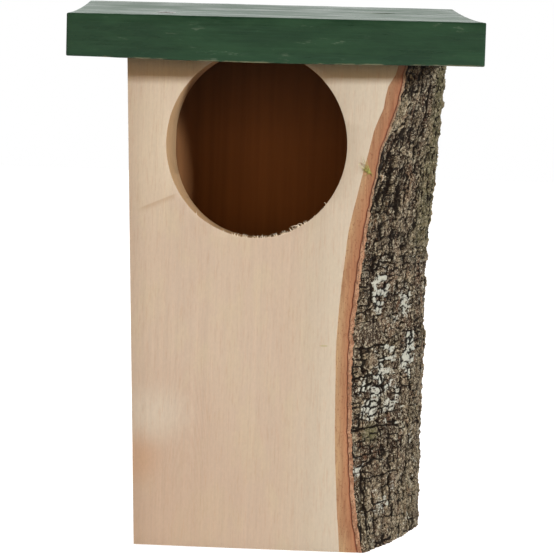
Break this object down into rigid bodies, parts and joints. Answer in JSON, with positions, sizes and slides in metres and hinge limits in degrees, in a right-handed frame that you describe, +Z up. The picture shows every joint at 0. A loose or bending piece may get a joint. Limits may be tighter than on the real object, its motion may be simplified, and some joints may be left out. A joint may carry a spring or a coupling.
{
  "type": "birdhouse",
  "caption": "Semi-open log nest box with a wide round entrance in its sawn front, natural bark down one side and a thick sloping board roof that swivels on one screw",
  "frame": {"origin": "under the middle of the whole object, on the plane its base stands on", "axes": "+Z up; -Y is the way the entrance faces, so +Y is the flat back that hangs on a wall; +X is the side that keeps its bark"},
  "size_m": [0.1828, 0.181, 0.2394],
  "materials": {
    "log_wood": "raw sawn alder, pale with fine upright grain",
    "inner_bark": "raw sawn inner bark, orange brown",
    "outer_bark": "rough fissured bark, grey brown with lichen",
    "roof_board": "thin dark green stain with a low sheen",
    "zinc_steel": "bright zinc plating"
  },
  "bodies": {
    "log": {"log_wood": "log_wood", "inner_bark": "inner_bark", "outer_bark": "outer_bark", "roof_screw": "zinc_steel", "hanger_plate": "zinc_steel", "hanger_screw_low": "zinc_steel", "hanger_screw_high": "zinc_steel"},
    "roof": {"roof_board": "roof_board"}
  },
  "joints": [
    {"name": "roof_swivel", "type": "hinge", "parent": "log", "child": "roof", "pos_m": [-0.04461, -0.03797, 0.21147], "axis": [0, -0.0741, 0.9973], "range_deg": [-135, 135]}
  ]
}
